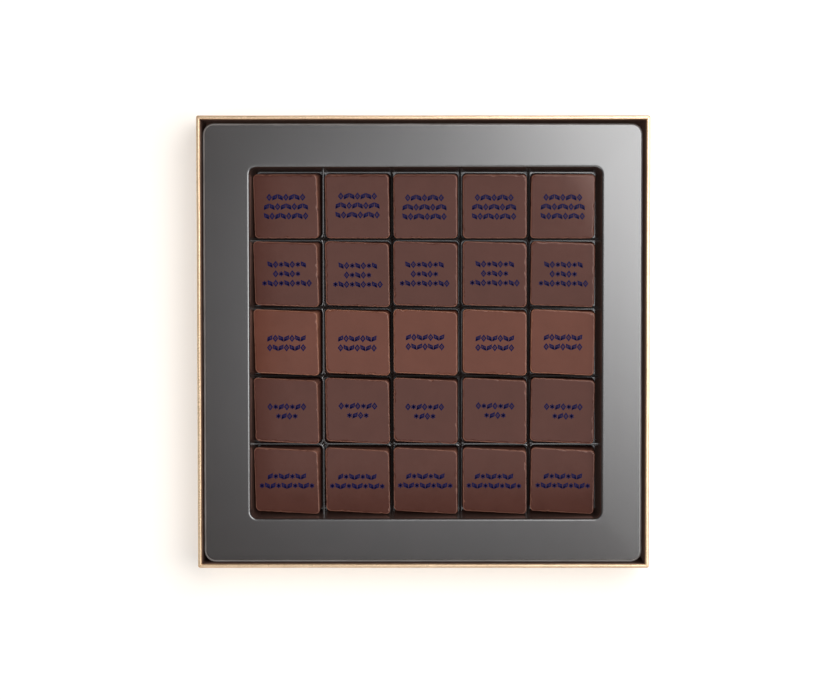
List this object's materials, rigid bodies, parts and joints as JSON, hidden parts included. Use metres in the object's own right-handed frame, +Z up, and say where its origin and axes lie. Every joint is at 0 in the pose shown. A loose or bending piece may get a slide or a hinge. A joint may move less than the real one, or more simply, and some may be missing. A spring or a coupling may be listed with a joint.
{
  "type": "chocolate box",
  "caption": "Open square chocolate box: a paper-wrapped rigid base holding a thermoformed tray whose ribbed well seats square moulded chocolates that lift out.",
  "frame": {"origin": "centre of the underside", "axes": "+Z up out of the open box, +Y towards the back row of chocolates, +X to the right"},
  "size_m": [0.165, 0.165, 0.024],
  "materials": {
    "gold_paper": "satin",
    "brown_paper": "satin",
    "base_paper": "matte",
    "stay_paper": "matte",
    "greyboard": "matte",
    "tray_plastic": "satin",
    "dark_chocolate": "satin",
    "milk_chocolate": "satin"
  },
  "bodies": {
    "box": {"floor_board": "greyboard", "wall_board_front": "greyboard", "wall_board_back": "greyboard", "wall_board_left": "greyboard", "wall_board_right": "greyboard", "corner_stay_front_left": "stay_paper", "corner_stay_front_right": "stay_paper", "corner_stay_back_left": "stay_paper", "corner_stay_back_right": "stay_paper", "outer_wrap": "gold_paper", "base_sheet": "base_paper", "wall_lining": "brown_paper", "floor_lining": "brown_paper"},
    "tray": {"tray": "tray_plastic"},
    "chocolate_r1c1": {"chocolate_r1c1": "dark_chocolate"},
    "chocolate_r1c2": {"chocolate_r1c2": "dark_chocolate"},
    "chocolate_r1c3": {"chocolate_r1c3": "dark_chocolate"},
    "chocolate_r1c4": {"chocolate_r1c4": "dark_chocolate"},
    "chocolate_r1c5": {"chocolate_r1c5": "dark_chocolate"},
    "chocolate_r2c1": {"chocolate_r2c1": "dark_chocolate"},
    "chocolate_r2c2": {"chocolate_r2c2": "dark_chocolate"},
    "chocolate_r2c3": {"chocolate_r2c3": "dark_chocolate"},
    "chocolate_r2c4": {"chocolate_r2c4": "dark_chocolate"},
    "chocolate_r2c5": {"chocolate_r2c5": "dark_chocolate"},
    "chocolate_r3c1": {"chocolate_r3c1": "milk_chocolate"},
    "chocolate_r3c2": {"chocolate_r3c2": "milk_chocolate"},
    "chocolate_r3c3": {"chocolate_r3c3": "milk_chocolate"},
    "chocolate_r3c4": {"chocolate_r3c4": "milk_chocolate"},
    "chocolate_r3c5": {"chocolate_r3c5": "milk_chocolate"},
    "chocolate_r4c1": {"chocolate_r4c1": "dark_chocolate"},
    "chocolate_r4c2": {"chocolate_r4c2": "dark_chocolate"},
    "chocolate_r4c3": {"chocolate_r4c3": "dark_chocolate"},
    "chocolate_r4c4": {"chocolate_r4c4": "dark_chocolate"},
    "chocolate_r4c5": {"chocolate_r4c5": "dark_chocolate"},
    "chocolate_r5c1": {"chocolate_r5c1": "dark_chocolate"},
    "chocolate_r5c2": {"chocolate_r5c2": "dark_chocolate"},
    "chocolate_r5c3": {"chocolate_r5c3": "dark_chocolate"},
    "chocolate_r5c4": {"chocolate_r5c4": "dark_chocolate"},
    "chocolate_r5c5": {"chocolate_r5c5": "dark_chocolate"}
  },
  "joints": [
    {"name": "tray_lift", "type": "slide", "parent": "box", "child": "tray", "axis": [0, 0, 1], "range_m": [0, 0.03]},
    {"name": "chocolate_r1c1_lift", "type": "slide", "parent": "tray", "child": "chocolate_r1c1", "axis": [0, 0, 1], "range_m": [0, 0.03]},
    {"name": "chocolate_r1c2_lift", "type": "slide", "parent": "tray", "child": "chocolate_r1c2", "axis": [0, 0, 1], "range_m": [0, 0.03]},
    {"name": "chocolate_r1c3_lift", "type": "slide", "parent": "tray", "child": "chocolate_r1c3", "axis": [0, 0, 1], "range_m": [0, 0.03]},
    {"name": "chocolate_r1c4_lift", "type": "slide", "parent": "tray", "child": "chocolate_r1c4", "axis": [0, 0, 1], "range_m": [0, 0.03]},
    {"name": "chocolate_r1c5_lift", "type": "slide", "parent": "tray", "child": "chocolate_r1c5", "axis": [0, 0, 1], "range_m": [0, 0.03]},
    {"name": "chocolate_r2c1_lift", "type": "slide", "parent": "tray", "child": "chocolate_r2c1", "axis": [0, 0, 1], "range_m": [0, 0.03]},
    {"name": "chocolate_r2c2_lift", "type": "slide", "parent": "tray", "child": "chocolate_r2c2", "axis": [0, 0, 1], "range_m": [0, 0.03]},
    {"name": "chocolate_r2c3_lift", "type": "slide", "parent": "tray", "child": "chocolate_r2c3", "axis": [0, 0, 1], "range_m": [0, 0.03]},
    {"name": "chocolate_r2c4_lift", "type": "slide", "parent": "tray", "child": "chocolate_r2c4", "axis": [0, 0, 1], "range_m": [0, 0.03]},
    {"name": "chocolate_r2c5_lift", "type": "slide", "parent": "tray", "child": "chocolate_r2c5", "axis": [0, 0, 1], "range_m": [0, 0.03]},
    {"name": "chocolate_r3c1_lift", "type": "slide", "parent": "tray", "child": "chocolate_r3c1", "axis": [0, 0, 1], "range_m": [0, 0.03]},
    {"name": "chocolate_r3c2_lift", "type": "slide", "parent": "tray", "child": "chocolate_r3c2", "axis": [0, 0, 1], "range_m": [0, 0.03]},
    {"name": "chocolate_r3c3_lift", "type": "slide", "parent": "tray", "child": "chocolate_r3c3", "axis": [0, 0, 1], "range_m": [0, 0.03]},
    {"name": "chocolate_r3c4_lift", "type": "slide", "parent": "tray", "child": "chocolate_r3c4", "axis": [0, 0, 1], "range_m": [0, 0.03]},
    {"name": "chocolate_r3c5_lift", "type": "slide", "parent": "tray", "child": "chocolate_r3c5", "axis": [0, 0, 1], "range_m": [0, 0.03]},
    {"name": "chocolate_r4c1_lift", "type": "slide", "parent": "tray", "child": "chocolate_r4c1", "axis": [0, 0, 1], "range_m": [0, 0.03]},
    {"name": "chocolate_r4c2_lift", "type": "slide", "parent": "tray", "child": "chocolate_r4c2", "axis": [0, 0, 1], "range_m": [0, 0.03]},
    {"name": "chocolate_r4c3_lift", "type": "slide", "parent": "tray", "child": "chocolate_r4c3", "axis": [0, 0, 1], "range_m": [0, 0.03]},
    {"name": "chocolate_r4c4_lift", "type": "slide", "parent": "tray", "child": "chocolate_r4c4", "axis": [0, 0, 1], "range_m": [0, 0.03]},
    {"name": "chocolate_r4c5_lift", "type": "slide", "parent": "tray", "child": "chocolate_r4c5", "axis": [0, 0, 1], "range_m": [0, 0.03]},
    {"name": "chocolate_r5c1_lift", "type": "slide", "parent": "tray", "child": "chocolate_r5c1", "axis": [0, 0, 1], "range_m": [0, 0.03]},
    {"name": "chocolate_r5c2_lift", "type": "slide", "parent": "tray", "child": "chocolate_r5c2", "axis": [0, 0, 1], "range_m": [0, 0.03]},
    {"name": "chocolate_r5c3_lift", "type": "slide", "parent": "tray", "child": "chocolate_r5c3", "axis": [0, 0, 1], "range_m": [0, 0.03]},
    {"name": "chocolate_r5c4_lift", "type": "slide", "parent": "tray", "child": "chocolate_r5c4", "axis": [0, 0, 1], "range_m": [0, 0.03]},
    {"name": "chocolate_r5c5_lift", "type": "slide", "parent": "tray", "child": "chocolate_r5c5", "axis": [0, 0, 1], "range_m": [0, 0.03]}
  ]
}
